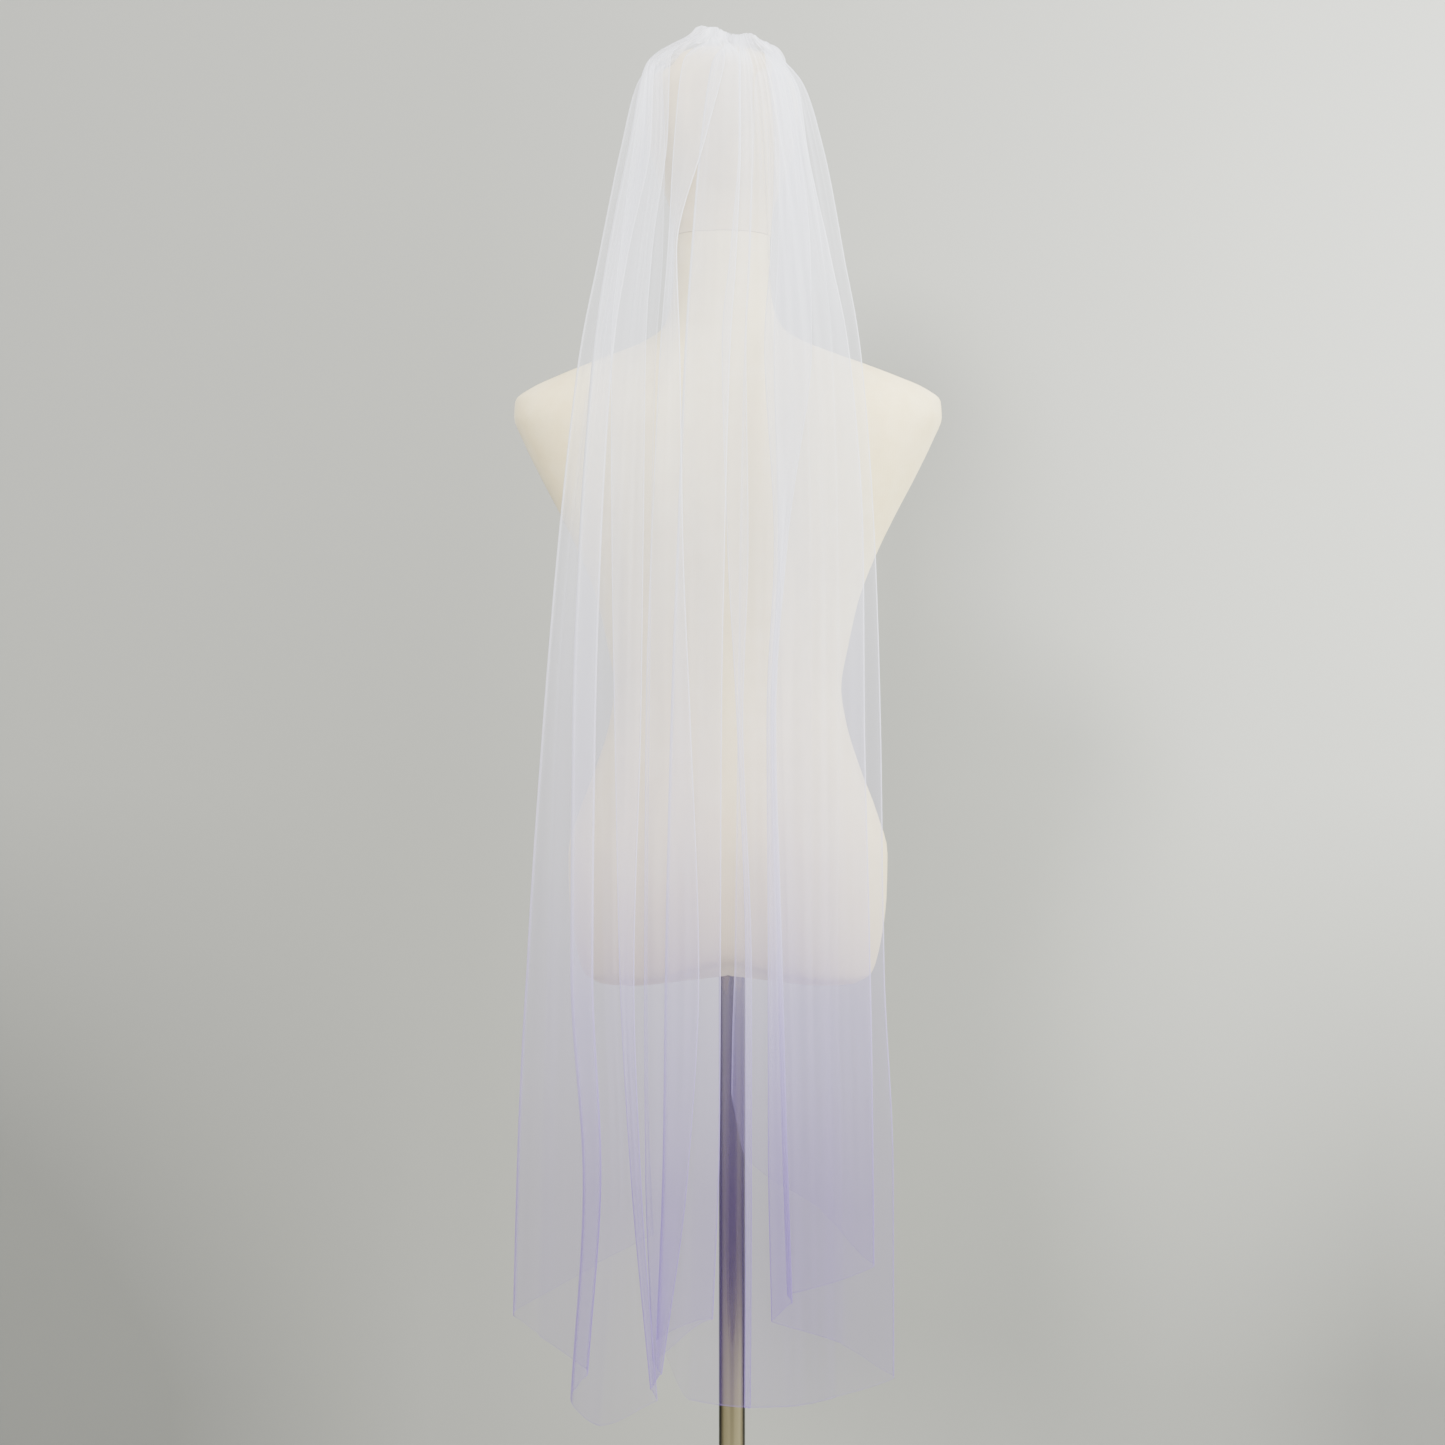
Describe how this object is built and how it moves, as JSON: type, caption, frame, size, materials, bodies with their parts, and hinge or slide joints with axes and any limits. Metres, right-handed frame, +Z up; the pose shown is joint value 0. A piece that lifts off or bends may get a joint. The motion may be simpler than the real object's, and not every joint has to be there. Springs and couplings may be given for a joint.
{
  "type": "bridal veil on a dress form",
  "caption": "Long gathered tulle veil with a comb, falling in soft folds down the back of a limbless dress form on a pole with a round base.",
  "frame": {"origin": "on the floor under the middle of the round base, on the pole's centre line", "axes": "+Z up along the pole, -Y the side that the veil hangs on, which is the form's back, +X to the right when looking at the veil"},
  "size_m": [0.418, 0.3792, 1.692],
  "materials": {
    "veil_tulle": "sheer soft tulle, white at the crown fading to lilac at the hem",
    "comb_wire": "plain wire comb",
    "form_jersey": "stretched cream jersey",
    "head_cover": "smooth beige cover",
    "collar_steel": "dark painted socket",
    "pole_chrome": "polished chrome",
    "base_chrome": "polished chrome"
  },
  "bodies": {
    "root": {"veil_panel": "veil_tulle", "comb": "comb_wire", "form_torso": "form_jersey", "form_head": "head_cover", "pole_collar": "collar_steel", "pole": "pole_chrome", "base_plate": "base_chrome"}
  },
  "joints": []
}
